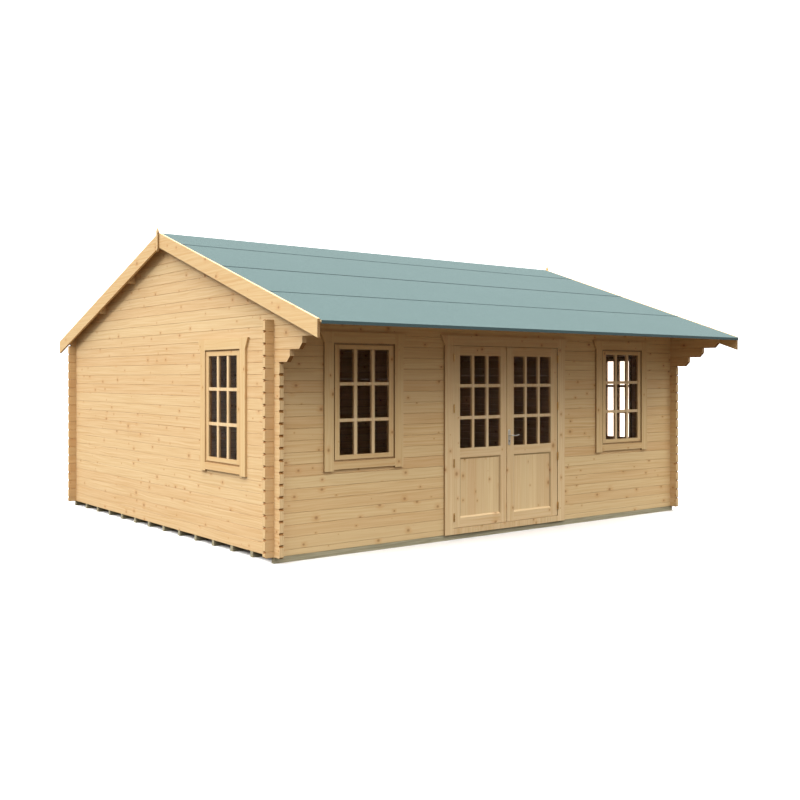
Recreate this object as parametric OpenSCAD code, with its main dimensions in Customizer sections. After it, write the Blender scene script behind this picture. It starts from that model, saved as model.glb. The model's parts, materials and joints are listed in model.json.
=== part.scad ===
// Log cabin: interlocking spruce logs on bearers, asymmetric gable roof with a wide front eave
// carried on stepped corner logs, double glazed doors and four small-paned windows.
// Units are millimetres, +Z is up, the front faces -Y, the origin is on the ground at the centre.

/* [Walls] */
// Length of the front and back walls over the outer faces of the gable walls
wall_len = 6000; // [4800:10:7200]
// Depth of the building over the outer faces of the front and back walls
wall_dep = 5320; // [4900:10:6500]
// Thickness of a log
log_t = 45; // [34:1:60]
// Height of a log course
log_h = 114; // [100:1:130]
// Height from the bearers to the lowest stepped corner log
corner_h = 1824; // [1700:2:2000]
// How far the crossing log ends stand out past each corner
log_end = 98; // [80:1:130]
// Chamfer along the long edges of a log
log_chamfer = 3.5; // [2:0.5:6]
// Chamfer on the top and bottom of a log's end
end_chamfer = 13; // [8:1:20]

/* [Front corner steps] */
// Reach of the lowest stepped log in front of the front wall
step_reach_1 = 280; // [200:5:360]
// Reach of the middle stepped log
step_reach_2 = 490; // [400:5:600]
// Reach of the top stepped log
step_reach_3 = 715; // [620:5:800]
// Chamfer on the lower corner of a stepped log
step_chamfer = 55; // [30:1:70]

/* [Floor] */
// Height of a floor bearer
bearer_h = 58; // [40:1:80]
// Width of a floor bearer
bearer_w = 45; // [40:1:70]
// Number of floor bearers
bearer_n = 14; // [8:1:18]
// Thickness of the floor boards
floor_t = 19; // [16:1:28]

/* [Roof] */
// Distance of the ridge in front of the middle of the walls
ridge_shift = 310; // [0:10:500]
// Height of the roof boards' underside over the last crossing log, at the front wall's face
eave_rise = 245; // [200:1:320]
// Rise of the roof for each unit of run
pitch = 0.342; // [0.3:0.002:0.38]
// Roof boards past the front wall
eave_front = 926; // [850:5:1100]
// Roof boards past the back wall
eave_back = 333; // [200:5:450]
// How far the bargeboards' outer faces stand out past the gable walls
verge = 106; // [100:1:160]
// Thickness of the roof boards
deck_t = 19; // [16:1:25]
// Thickness of the roofing felt
felt_t = 3; // [2:0.5:5]
// Overlap of a felt strip over the next one down
felt_lap = 60; // [40:5:100]
// Distance down the slope from the ridge to the first felt seam
felt_cap = 555; // [400:5:700]
// Width of each felt strip between seams
felt_strip = 977; // [800:1:1050]
// Drop of the felt turned down over the eaves
felt_drop = 31; // [20:1:50]
// Width of a purlin
purlin_w = 45; // [40:1:70]
// Depth of a purlin
purlin_h = 145; // [120:5:180]
// Distance of the eave purlin in front of the front wall
eave_purlin = 395; // [300:5:500]
// Thickness of a bargeboard
barge_t = 26; // [18:1:30]
// Rise of a bargeboard's top edge over the felt
barge_rise = 5; // [3:0.5:20]
// Plumb depth of a bargeboard
barge_h = 163; // [130:1:190]
// How far the bargeboards' front ends stop short of the roof boards
barge_back_set = 23; // [5:1:40]
// Height of a finial
finial_h = 262; // [200:2:320]
// Width of a finial
finial_w = 40; // [30:1:60]
// Thickness of a finial
finial_t = 20; // [16:1:28]

/* [Doors] */
// Width of the doorway between the leaves' hinged edges
door_w = 1600; // [1400:5:1800]
// How far left of the doorway's middle the two leaves meet
meet_shift = 15; // [0:1:30]
// Running gap where the leaves meet
meet_gap = 9; // [8:0.5:12]
// Height of a door leaf
leaf_h = 1950; // [1850:5:1980]
// Thickness of a door leaf
leaf_t = 40; // [36:1:44]
// Width of a leaf's rails
rail_w = 100; // [80:1:120]
// Width of the glass in a leaf
leaf_glass_w = 600; // [500:5:640]
// Height of the glass in a leaf
leaf_glass_h = 1001; // [800:1:1100]
// Running gap round a door leaf
leaf_gap = 5; // [5:0.5:8]
// Thickness of the threshold
threshold_h = 64.7; // [50:0.1:80]
// Face width of the door casing boards
door_casing_w = 120; // [90:1:140]
// Length of a hinge barrel
hinge_h = 90; // [70:2:120]
// Radius of a hinge barrel
hinge_r = 7; // [6:0.5:9]
// Height of the lever above the bottom of the leaf
lever_z = 965; // [900:5:1050]

/* [Windows] */
// Width of the opening inside a window's casing
win_w = 750; // [600:10:800]
// Height of the opening inside a window's casing
win_h = 1162; // [1000:2:1200]
// Height of the front windows' casing opening above the ground
win_z = 918; // [850:2:960]
// Distance of a front window's centre from the nearer corner, as a share of the wall
win_share = 0.1717; // [0.16:0.0001:0.2]
// Distance of a gable window's centre behind the front wall's outer face
gable_win_y = 1000; // [900:10:2600]
// Face width of the window casing boards
win_casing_w = 108; // [80:1:120]
// Height of the head boards over windows and doors
head_h = 110; // [80:1:130]
// Overhang of a head board's top past the casing's outer edge
head_over = 52; // [20:1:70]
// Thickness of the casing boards
casing_t = 24; // [16:1:28]
// Width of a sash's stiles
sash_w = 55; // [45:1:70]
// Width of a sash's rails
sash_rail = 45; // [40:1:60]
// Thickness of a sash
sash_t = 36; // [30:1:40]
// Thickness of the glass
glass_t = 4; // [3:0.5:6]

/* [Hidden] */
g = 0.3;                                   // joint gap between fixed pieces

spruce = "#E3C28F";
spruce_light = "#F0D5A4";
spruce_shade = "#D6B382";
treated = "#9C957C";
felt_green = "#8FAEAB";
glass_grey = "#3A3430";
steel = "#A9A7A2";

mid_y = (wall_dep + eave_back - eave_front) / 2;   // centre of the roof's plan, front to back
base_z = bearer_h;                                 // underside of the log walls
half = log_h / 2;
plain_courses = round(corner_h / log_h);           // gable courses below the stepped ones
win_x = wall_len * win_share;
nz = log_h / 4;                                    // depth of a corner notch
cos_p = 1 / sqrt(1 + pitch * pitch);               // cosine of the roof's slope
ridge_y = wall_dep / 2 - ridge_shift;
ridge_z = base_z + half + (plain_courses + 3) * log_h + eave_rise + pitch * ridge_y;
barge_top = ridge_z + (deck_t + felt_t) / cos_p + barge_rise;
barge_in = verge - barge_t;                        // bargeboard's inner face past the gable wall

// gable courses rest on the bearers, front and back courses are half a log higher
function gz(k) = base_z + k * log_h;
function fz(k) = base_z + half + k * log_h;
// underside of a bargeboard, and of the roof boards, at a distance y behind the front wall
function barge_foot(y) = barge_top - pitch * abs(y - ridge_y) - barge_h;
function under(y) = ridge_z - pitch * abs(y - ridge_y);

min_log = 25;                                      // least height of a course under the roof
top_course = plain_courses + 2;                    // last front course with crossing ends
gable_n = ceil((ridge_z - base_z) / log_h);
front_n = floor((under(log_t) - fz(0)) / log_h);
back_n = ceil((under(wall_dep) - fz(0) - min_log) / log_h);
back_trim = barge_in - 6;                          // ends that stand behind the bargeboards

door_cx = wall_len / 2;
left_w = door_w / 2 - meet_shift - meet_gap / 2;   // widths of the two leaves
right_w = door_w / 2 + meet_shift - meet_gap / 2;
leaf_z = base_z + g + threshold_h + leaf_gap;
leaf_y = -18;                                      // outer face of a leaf
jamb_t = 30;
stop_w = 15;                                       // how far a stop reaches behind a leaf
stop_y = leaf_y + leaf_t + leaf_gap;
door_in = door_w / 2 + leaf_gap;                   // half width between the jambs
door_rough = door_in + jamb_t;                     // half width of the wall opening
door_head = leaf_z + leaf_h + leaf_gap;            // underside of the frame's head
door_rough_z = door_head + jamb_t;
hinge_x = door_in - leaf_gap / 2;
hinge_y = -casing_t - g - hinge_r - 1;
hinge_at = [70, 650, 1235, 1780];                  // hinge bottoms above the leaf's bottom
lever_in = 33;                                     // lever's axis from the leaf's free edge

lining_t = 14;
sash_gap = 3;

// A log's side view: from u0 to u1 along the wall, z0 to z1, with end chamfers c0 and c1,
// and step in place of c0 on the lower corner of a stepped log.
// cuts holds [start, end, depth from below, depth from above] in order along the log.
function log_profile(u0, u1, z0, z1, c0, c1, cuts, step) = concat(
  step > 0 ? [[u0, z0 + step], [u0 + step, z0]]
    : c0 > 0 ? [[u0, z0 + c0], [u0 + c0, z0]] : [[u0, z0]],
  [for (c = cuts) if (c[2] > 0) for (p = [[c[0], z0], [c[0], z0 + c[2]],
    [c[1], z0 + c[2]], [c[1], z0]]) p],
  c1 > 0 ? [[u1 - c1, z0], [u1, z0 + c1], [u1, z1 - c1], [u1 - c1, z1]] : [[u1, z0], [u1, z1]],
  [for (i = [len(cuts) - 1:-1:0]) if (cuts[i][3] > 0) for (p = [[cuts[i][1], z1],
    [cuts[i][1], z1 - cuts[i][3]], [cuts[i][0], z1 - cuts[i][3]], [cuts[i][0], z1]]) p],
  c0 > 0 ? [[u0 + c0, z1], [u0, z1 - c0]] : [[u0, z1]]);

// Cross-section of a log with all four long edges chamfered, from v = 0 to its thickness
function log_section(z0, z1, ch) = [[ch, z0], [log_t - ch, z0], [log_t, z0 + ch],
  [log_t, z1 - ch], [log_t - ch, z1], [ch, z1], [0, z1 - ch], [0, z0 + ch]];

// One log along X with its outer face at y = 0
module log_x(u0, u1, z0, z1, c0, c1, cuts) {
  ch = min(log_chamfer, (z1 - z0) / 4);
  intersection() {
    translate([0, log_t, 0]) rotate([90, 0, 0]) linear_extrude(log_t)
      polygon(log_profile(u0, u1, z0, z1, c0, c1, cuts, 0));
    translate([u0, 0, 0]) rotate([90, 0, 90]) linear_extrude(u1 - u0)
      polygon(log_section(z0, z1, ch));
  }
}

// One log along Y with its outer face at x = 0
module log_y(u0, u1, z0, z1, c0, c1, cuts, step = 0) {
  ch = min(log_chamfer, (z1 - z0) / 4);
  intersection() {
    rotate([90, 0, 90]) linear_extrude(log_t)
      polygon(log_profile(u0, u1, z0, z1, c0, c1, cuts, step));
    translate([0, u1, 0]) rotate([90, 0, 0]) linear_extrude(u1 - u0)
      polygon(log_section(z0, z1, ch));
  }
}

// Side view of everything below the roof boards, for trimming walls to the slope
module roof_trim(x0, x1) {
  rotate([90, 0, 90]) translate([0, 0, x0]) linear_extrude(x1 - x0)
    polygon([[-eave_front, 0], [wall_dep + eave_back, 0],
      [wall_dep + eave_back, under(wall_dep + eave_back) - g],
      [ridge_y, ridge_z - g], [-eave_front, under(-eave_front) - g]]);
}

// Everything is drawn with x from the left gable wall's outer face and y from the front
// wall's outer face, then moved so that the origin is under the middle of the roof.
module place() { translate([-wall_len / 2, -mid_y, 0]) children(); }
module mirror_x() { translate([wall_len, 0, 0]) mirror([1, 0, 0]) children(); }

// ---------------------------------------------------------------- floor
module floor_bearers() {
  color(treated) place()
    for (i = [0:bearer_n - 1])
      translate([0, i * (wall_dep - bearer_w) / (bearer_n - 1), 0])
        cube([wall_len, bearer_w, bearer_h]);
}

module floor_boards() {
  color(spruce_shade) place()
    translate([log_t + g, log_t + g, base_z + g])
      cube([wall_len - 2 * (log_t + g), wall_dep - 2 * (log_t + g), floor_t]);
}

// ---------------------------------------------------------------- long walls
win_rough = win_w / 2;                              // half width of a window's wall opening
win_z0 = win_z;                                     // foot of a front window's wall opening
win_z1 = win_z + win_h;                             // top of it

// notches where the gable walls cross: [start, end, below, above]
function cross_x(lo, hi) = [
  [-g, log_t + g, lo, hi], [wall_len - log_t - g, wall_len + g, lo, hi]];

// the bite that a window's opening takes out of a course
function bite(c, w, a, b, z0, z1) =
  (a < z1 && b > z0 && !(a <= z0 && b >= z1)) ?
    [[c - w, c + w, a <= z0 ? b - z0 : 0, b >= z1 ? z1 - a : 0]] : [];
function full_cut(a, b, z0, z1) = a <= z0 && b >= z1;

// left part of a front course, from the corner to the doorway or to the wall's middle
module front_side_course(k, x_end) {
  z0 = k < 0 ? base_z + g : fz(k) + g;
  z1 = fz(k + 1);
  lo = k < 0 ? 0 : nz;
  cuts = [[-g, log_t + g, lo, nz]];
  if (full_cut(win_z0, win_z1, z0, z1)) {
    log_x(-log_end, win_x - win_rough, z0, z1, end_chamfer, 0, cuts);
    log_x(win_x + win_rough, x_end, z0, z1, 0, 0, []);
  } else
    log_x(-log_end, x_end, z0, z1, end_chamfer, 0,
      concat(cuts, bite(win_x, win_rough, win_z0, win_z1, z0, z1)));
}

door_courses = floor((door_rough_z - fz(0)) / log_h);   // courses cut right through by the doorway

module front_wall_left() {
  color(spruce) place()
    for (k = [-1:door_courses - 1]) front_side_course(k, door_cx - door_rough - g);
}

module front_wall_right() {
  color(spruce) place() mirror_x()
    for (k = [-1:door_courses - 1]) front_side_course(k, door_cx - door_rough - g);
}

// courses over the doorway: the first is split beside the door frame's head, those above
// run from end to end, and the last ones stop at the gable walls and meet the roof's slope
module front_wall_top() {
  color(spruce) place() {
    if (door_rough_z > fz(door_courses) + 1) {
      front_side_course(door_courses, door_cx - door_rough - g);
      mirror_x() front_side_course(door_courses, door_cx - door_rough - g);
      log_x(door_cx - door_rough, door_cx + door_rough, door_rough_z + g,
        fz(door_courses + 1), 0, 0, []);
    }
    for (k = [door_courses + 1:top_course])
      log_x(-log_end, wall_len + log_end, fz(k) + g, fz(k + 1), end_chamfer, end_chamfer,
        concat([cross_x(nz, nz)[0]],
          bite(win_x, win_rough, win_z0, win_z1, fz(k) + g, fz(k + 1)),
          bite(wall_len - win_x, win_rough, win_z0, win_z1, fz(k) + g, fz(k + 1)),
          [cross_x(nz, nz)[1]]));
    intersection() {
      for (k = [top_course + 1:front_n - 1])
        log_x(log_t + g, wall_len - log_t - g, fz(k) + g,
          k == front_n - 1 ? fz(k + 2) : fz(k + 1), 0, 0, []);
      roof_trim(0, wall_len);
    }
  }
}

// back courses that would meet the bargeboards stop just inside them
function back_end(k) = fz(k + 1) > barge_foot(wall_dep) - leaf_gap ? back_trim : log_end;

module back_wall() {
  color(spruce) place() translate([0, wall_dep - log_t, 0]) {
    log_x(-log_end, wall_len + log_end, base_z + g, fz(0), end_chamfer, end_chamfer,
      cross_x(0, nz));
    for (k = [0:top_course - 1])
      log_x(-back_end(k), wall_len + back_end(k), fz(k) + g, fz(k + 1), end_chamfer,
        end_chamfer, cross_x(nz, nz));
    intersection() {
      union() {
        log_x(-back_trim, wall_len + back_trim, fz(top_course) + g, fz(top_course + 1),
          end_chamfer, end_chamfer, cross_x(nz, nz));
        if (back_n > top_course + 1)
          for (k = [top_course + 1:back_n - 1])
            log_x(log_t + g, wall_len - log_t - g, fz(k) + g, fz(k + 1), 0, 0, []);
      }
      translate([0, log_t - wall_dep, 0]) roof_trim(-back_trim, wall_len + back_trim);
    }
  }
}

// ---------------------------------------------------------------- gable walls
// distances of the purlins behind the front wall's face
purlin_gap = (ridge_y + eave_purlin) / 3;
purlin_at = [ridge_y - 3 * purlin_gap, ridge_y - 2 * purlin_gap, ridge_y - purlin_gap,
  ridge_y + purlin_gap, ridge_y + 2 * purlin_gap];
function purlin_foot(y) = min(under(y - purlin_w / 2), under(y + purlin_w / 2)) - purlin_h;

gwin_z0 = win_z0 - half;                           // gable windows sit half a log lower
gwin_z1 = win_z1 - half;

function reach(k) = k == plain_courses ? step_reach_1 : k == plain_courses + 1 ? step_reach_2
  : k >= plain_courses + 2 ? step_reach_3 : log_end;

// notches where the front and back walls cross: [start, end, below, above]
function gable_cuts(k) = k > top_course + 1 ? [] :
  [for (y = [0, wall_dep - log_t]) [y - g, y + log_t + g, nz, k > top_course ? 0 : nz]];

// courses above the stepped ones run on to the last step's reach until the roof cuts them
module gable_course(k) {
  z0 = gz(k) + g;
  z1 = gz(k + 1);
  c0 = k < plain_courses ? end_chamfer : 0;
  c1 = k <= top_course ? end_chamfer : 0;
  step = k >= plain_courses && k <= plain_courses + 2 ? step_chamfer : 0;
  cuts = gable_cuts(k);
  if (full_cut(gwin_z0, gwin_z1, z0, z1)) {
    log_y(-reach(k), gable_win_y - win_rough, z0, z1, c0, 0, [cuts[0]], step);
    log_y(gable_win_y + win_rough, wall_dep + log_end, z0, z1, 0, c1, [cuts[1]]);
  } else if (len(cuts) == 2)
    log_y(-reach(k), wall_dep + log_end, z0, z1, c0, c1,
      concat([cuts[0]], bite(gable_win_y, win_rough, gwin_z0, gwin_z1, z0, z1), [cuts[1]]),
      step);
  else
    log_y(-reach(k), wall_dep + log_end, z0, z1, 0, 0, []);
}

// slots in the gable walls that the purlins lie in, open up to the roof boards
module purlin_slots(z0, z1) {
  for (y = concat(purlin_at, [ridge_y]))
    if (purlin_foot(y) < z1 && under(y) + purlin_h > z0)
      translate([-log_t, y - purlin_w / 2 - g, purlin_foot(y) - g])
        cube([3 * log_t, purlin_w + 2 * g, 2 * purlin_h]);
}

module gable_wall() {
  for (k = [0:gable_n - 1])
    if (gz(k + 1) > purlin_foot(purlin_at[0]) - 1)
      difference() {
        intersection() {
          gable_course(k);
          roof_trim(-g, log_t + g);
        }
        purlin_slots(gz(k), gz(k + 1));
      }
    else
      gable_course(k);
}

module left_gable_wall() { color(spruce_light) place() gable_wall(); }
module right_gable_wall() { color(spruce_light) place() mirror_x() gable_wall(); }

// ---------------------------------------------------------------- roof timbers
roof_x0 = -barge_in + g;                           // purlins, boards and felt end here
roof_len = wall_len + 2 * barge_in - 2 * g;

module along_x(x0, len) {
  translate([x0, 0, 0]) rotate([90, 0, 90]) linear_extrude(len) children();
}

module ridge_purlin() {
  hw = purlin_w / 2;
  color(spruce_shade) place() along_x(roof_x0, roof_len)
    polygon([[ridge_y - hw, purlin_foot(ridge_y)], [ridge_y + hw, purlin_foot(ridge_y)],
      [ridge_y + hw, under(ridge_y + hw) - g], [ridge_y, ridge_z - g],
      [ridge_y - hw, under(ridge_y - hw) - g]]);
}

module roof_purlins() {
  hw = purlin_w / 2;
  color(spruce_shade) place()
    for (y = purlin_at) along_x(roof_x0, roof_len)
      polygon([[y - hw, purlin_foot(y)], [y + hw, purlin_foot(y)],
        [y + hw, under(y + hw) - g], [y - hw, under(y - hw) - g]]);
}

// a point on a slope: s is the distance down the slope from the ridge line, n the height
// above the roof boards' underside, side is -1 for the front and 1 for the back
function slope_pt(side, s, n) = [ridge_y + side * (s * cos_p + n * pitch * cos_p),
  ridge_z - s * pitch * cos_p + n * cos_p];

module roof_slab(side, run) {
  th = deck_t / cos_p;
  y1 = ridge_y + side * run;
  along_x(roof_x0, roof_len)
    polygon([[ridge_y + side * g / 2, ridge_z], [ridge_y + side * g / 2, ridge_z + th],
      [y1, under(y1) + th], [y1, under(y1)]]);
}
run_front = ridge_y + eave_front;
run_back = wall_dep + eave_back - ridge_y;

module front_roof_boards() { color(spruce_shade) place() roof_slab(-1, run_front); }
module back_roof_boards() { color(spruce_shade) place() roof_slab(1, run_back); }

// felt strips lie on the boards and each laps over the one below
n0 = deck_t + g;
n1 = n0 + felt_t;
n2 = n1 + g;
n3 = n2 + felt_t;

module felt_strip_side(side, s0, s1) {
  along_x(roof_x0, roof_len)
    polygon([slope_pt(side, s0, n0), slope_pt(side, s1 - felt_lap - 8, n0),
      slope_pt(side, s1 - felt_lap, n2), slope_pt(side, s1, n2), slope_pt(side, s1, n3),
      slope_pt(side, s1 - felt_lap - 2, n3), slope_pt(side, s1 - felt_lap - 10, n1),
      slope_pt(side, s0, n1)]);
}

// the lowest strip ends in a drop over the edge of the roof boards
module felt_eave(side, s0, run) {
  y1 = ridge_y + side * run;
  top = under(y1) + n1 / cos_p;
  along_x(roof_x0, roof_len)
    polygon([slope_pt(side, s0, n0), [y1 + side * g, under(y1 + side * g) + n0 / cos_p],
      [y1 + side * g, top - felt_drop], [y1 + side * (g + felt_t), top - felt_drop],
      [y1 + side * (g + felt_t), under(y1 + side * (g + felt_t)) + n1 / cos_p],
      slope_pt(side, s0, n1)]);
}

module felt_side(side, run) {
  s1 = felt_cap + felt_strip;
  s2 = s1 + felt_strip;
  felt_strip_side(side, 40, s1);
  felt_strip_side(side, s1 - felt_lap + 8, s2);
  felt_eave(side, s2 - felt_lap + 8, run);
}

module front_roof_felt() { color(felt_green) place() felt_side(-1, run_front); }
module back_roof_felt() { color(felt_green) place() felt_side(1, run_back); }

module ridge_felt() {
  top = ridge_z + n2 / cos_p;
  color(felt_green) place() along_x(roof_x0, roof_len)
    polygon([slope_pt(-1, felt_cap, n2), [ridge_y, top], slope_pt(1, felt_cap, n2),
      slope_pt(1, felt_cap, n3), [ridge_y, ridge_z + n3 / cos_p],
      slope_pt(-1, felt_cap, n3)]);
}

// ---------------------------------------------------------------- bargeboards and finials
module barge_pair() {
  ya = -eave_front + barge_back_set;
  yb = wall_dep + eave_back - barge_back_set;
  function top(y) = barge_top - pitch * abs(y - ridge_y);
  along_x(-verge, barge_t) polygon([[ya, top(ya)], [ya, top(ya) - barge_h],
    [ridge_y - g / 2, barge_top - barge_h], [ridge_y - g / 2, barge_top]]);
  along_x(-verge, barge_t) polygon([[yb, top(yb)], [yb, top(yb) - barge_h],
    [ridge_y + g / 2, barge_top - barge_h], [ridge_y + g / 2, barge_top]]);
}
module left_bargeboards() { color(spruce_light) place() barge_pair(); }
module right_bargeboards() { color(spruce_light) place() mirror_x() barge_pair(); }

module finial() {
  z0 = barge_top + 50 - finial_h;
  along_x(-verge - finial_t - g, finial_t)
    polygon([[ridge_y, z0], [ridge_y + finial_w / 2, z0 + finial_w],
      [ridge_y + finial_w / 2, z0 + finial_h - finial_w], [ridge_y, z0 + finial_h],
      [ridge_y - finial_w / 2, z0 + finial_h - finial_w],
      [ridge_y - finial_w / 2, z0 + finial_w]]);
}
module finials() { color(spruce_light) place() { finial(); mirror_x() finial(); } }

// ---------------------------------------------------------------- doors
module door_frame() {
  z0 = base_z + g;
  stop_in = door_in - leaf_gap - stop_w;            // half width between the stops
  stop_z = door_head - leaf_gap - stop_w;           // underside of the head's stop
  color(spruce_shade) place() translate([door_cx, 0, 0]) {
    for (m = [0, 1]) mirror([m, 0, 0]) {
      translate([door_in, 0, z0]) cube([jamb_t - g, log_t, door_head - g - z0]);
      translate([stop_in, stop_y, leaf_z]) cube([door_in - stop_in - g, log_t - stop_y,
        stop_z - g - leaf_z]);
    }
    translate([-door_rough + g, 0, door_head]) cube([2 * (door_rough - g), log_t, jamb_t - g]);
    translate([-door_in + g, stop_y, stop_z])
      cube([2 * (door_in - g), log_t - stop_y, door_head - g - stop_z]);
  }
}

module door_threshold() {
  color(spruce) place() translate([door_cx - door_in + g, -casing_t - g, base_z + g])
    cube([2 * (door_in - g), log_t + casing_t + g, threshold_h]);
}

// a head board with slanted ends on the wall's outer face
module head_board(half_w, z0) {
  translate([0, -g, 0]) rotate([90, 0, 0]) linear_extrude(casing_t)
    polygon([[-half_w, z0], [half_w, z0], [half_w + head_over, z0 + head_h],
      [-half_w - head_over, z0 + head_h]]);
}

module door_casing() {
  color(spruce) place() translate([door_cx, 0, 0]) {
    for (m = [0, 1]) mirror([m, 0, 0])
      translate([door_in, -casing_t - g, base_z + g])
        cube([door_casing_w, casing_t, door_head - g - base_z - g]);
    head_board(door_in + door_casing_w, door_head);
  }
}

// a leaf w wide with its left edge at x = 0, outer face at y = 0 and foot at z = 0
glass_z = leaf_h - rail_w - leaf_glass_h;           // foot of the leaf's glass
panel_t = 14;
groove = 9;                                         // depth of the grooves for glass and panel

// board of thickness t centred in the leaf's thickness, standing e past the glass's opening
module in_leaf(w, t, z0, z1, e) {
  translate([(w - leaf_glass_w) / 2 - e, (leaf_t - t) / 2, z0 - e])
    cube([leaf_glass_w + 2 * e, t, z1 - z0 + 2 * e]);
}
module leaf(w) {
  difference() {
    cube([w, leaf_t, leaf_h]);
    in_leaf(w, leaf_t + 2, glass_z, leaf_h - rail_w, 0);
    in_leaf(w, glass_t + 2 * g, glass_z, leaf_h - rail_w, groove + g);
    in_leaf(w, leaf_t + 2, rail_w, glass_z - rail_w, 0);
    in_leaf(w, panel_t + 2 * g, rail_w, glass_z - rail_w, groove + g);
  }
}
module leaf_glass(w) { in_leaf(w, glass_t, glass_z, leaf_h - rail_w, groove); }
module leaf_panel(w) { in_leaf(w, panel_t, rail_w, glass_z - rail_w, groove); }
module at_left_leaf() {
  place() translate([door_cx - door_w / 2, leaf_y, leaf_z]) children();
}
module at_right_leaf() {
  place() translate([door_cx + door_w / 2 - right_w, leaf_y, leaf_z]) children();
}
module left_door_leaf() { color(spruce) at_left_leaf() leaf(left_w); }
module left_door_panel() { color(spruce) at_left_leaf() leaf_panel(left_w); }
module left_door_glass() { color(glass_grey) at_left_leaf() leaf_glass(left_w); }
// the free stile of the right leaf is bored for the lever's spindle
module right_door_leaf() {
  color(spruce) at_right_leaf() difference() {
    leaf(right_w);
    translate([lever_in, -1, lever_z]) rotate([-90, 0, 0])
      cylinder(h = spindle_len + 1 + g, r = spindle_r + 0.2, $fn = 32);
  }
}
module right_door_panel() { color(spruce) at_right_leaf() leaf_panel(right_w); }
module right_door_glass() { color(glass_grey) at_right_leaf() leaf_glass(right_w); }

// hinges: barrels proud of the casing, lower half on the frame, upper half on the leaf, with
// their flaps in the gap between the two
pin_r = 3.5;
flap_t = 2;
flap_w = 42;

module hinge_frame_half() {
  cylinder(h = hinge_h / 2 - g, r = hinge_r, $fn = 32);
  cylinder(h = hinge_h - 6, r = pin_r, $fn = 32);
  translate([g - leaf_gap / 2, 0, 0]) cube([flap_t, flap_w, hinge_h / 2 - g]);
}
module hinge_leaf_half() {
  difference() {
    union() {
      translate([0, 0, hinge_h / 2]) cylinder(h = hinge_h / 2, r = hinge_r, $fn = 32);
      translate([leaf_gap / 2 - g - flap_t, 0, hinge_h / 2])
        cube([flap_t, flap_w, hinge_h / 2]);
    }
    translate([0, 0, hinge_h / 2 - 1])
      cylinder(h = hinge_h / 2 - 4, r = pin_r + 0.2, $fn = 32);
  }
}
module left_hinge_spots() {
  for (h = hinge_at) translate([door_cx - hinge_x, hinge_y, leaf_z + h]) children();
}
module right_hinge_spots() {
  for (h = hinge_at) translate([door_cx + hinge_x, hinge_y, leaf_z + h]) mirror([1, 0, 0])
    children();
}
module frame_hinge_halves() {
  color(steel) place() {
    left_hinge_spots() hinge_frame_half();
    right_hinge_spots() hinge_frame_half();
  }
}
module left_door_hinge_halves() { color(steel) place() left_hinge_spots() hinge_leaf_half(); }
module right_door_hinge_halves() { color(steel) place() right_hinge_spots() hinge_leaf_half(); }

// lever handle on the right leaf
plate_w = 38;
plate_h = 176;
plate_t = 5;
spindle_r = 5;
spindle_len = 30;
lever_len = 128;
lever_r = 8.5;
lever_out = 42;                                     // lever's axis in front of the plate
plate_drop = 111;                                   // plate's foot below the lever's axis

module door_handle_plate() {
  z0 = plate_w / 2 - plate_drop;                      // centres of the plate's round ends
  z1 = z0 + plate_h - plate_w;
  color(steel) at_right_leaf() translate([lever_in, -g, lever_z]) rotate([90, 0, 0])
    linear_extrude(plate_t) difference() {
      union() {
        translate([-plate_w / 2, z0]) square([plate_w, z1 - z0]);
        for (z = [z0, z1]) translate([0, z]) circle(r = plate_w / 2, $fn = 48);
      }
      circle(r = spindle_r + 0.2, $fn = 32);
    }
}
module door_lever() {
  color(steel) at_right_leaf() translate([lever_in, 0, lever_z]) {
    translate([0, spindle_len, 0]) rotate([90, 0, 0])
      cylinder(h = spindle_len + plate_t + g + lever_out, r = spindle_r, $fn = 32);
    translate([0, -plate_t - 2 * g, 0]) rotate([90, 0, 0])
      cylinder(h = 10, r = 12, $fn = 32);
    translate([0, -plate_t - lever_out, 0]) {
      sphere(r = lever_r, $fn = 32);
      rotate([0, 90, 0]) cylinder(h = lever_len - 2 * lever_r, r = lever_r, $fn = 32);
      translate([lever_len - 2 * lever_r, 0, 0]) sphere(r = lever_r, $fn = 32);
    }
  }
}

// ---------------------------------------------------------------- windows
// drawn with the opening's centre at x = 0, the wall's outer face at y = 0 and the casing
// opening's foot at z = 0
lin_in = win_w / 2 - lining_t;                      // half width inside the lining
lin_y = -8;                                         // lining's outer edge
sash_y = -16;                                       // outer face of the sash
sash_half = lin_in - sash_gap;
pane_half = sash_half - sash_w;
sash_z0 = lining_t + sash_gap;
sash_z1 = win_h - lining_t - sash_gap;
pane_z0 = sash_z0 + sash_rail;
pane_z1 = sash_z1 - sash_rail;
win_stop = 10;

// four lining boards in the wall's opening, each with a stop strip behind the sash
module win_frame() {
  y1 = sash_y + sash_t + g;
  for (m = [0, 1]) mirror([m, 0, 0]) {
    translate([lin_in, lin_y, g]) cube([lining_t - g, log_t - lin_y, win_h - 2 * g]);
    translate([lin_in - g - win_stop, y1, lining_t + g])
      cube([win_stop, log_t - y1, win_h - 2 * (lining_t + g)]);
  }
  for (z = [g, win_h - lining_t])
    translate([-lin_in + g, lin_y, z]) cube([2 * (lin_in - g), log_t - lin_y, lining_t - g]);
  for (z = [lining_t + g, win_h - lining_t - g - win_stop])
    translate([-lin_in + win_stop + 2 * g, y1, z])
      cube([2 * (lin_in - win_stop - 2 * g), log_t - y1, win_stop]);
}
module win_casing() {
  ear = 92;                                         // side boards' drop below the opening
  sill_h = 76;
  for (m = [0, 1]) mirror([m, 0, 0])
    translate([win_w / 2, -casing_t - g, -ear])
      cube([win_casing_w, casing_t, win_h + ear - g]);
  translate([-win_w / 2 + g, -casing_t - g, -sill_h]) cube([win_w - 2 * g, casing_t, sill_h]);
  head_board(win_w / 2 + win_casing_w, win_h);
}
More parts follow.
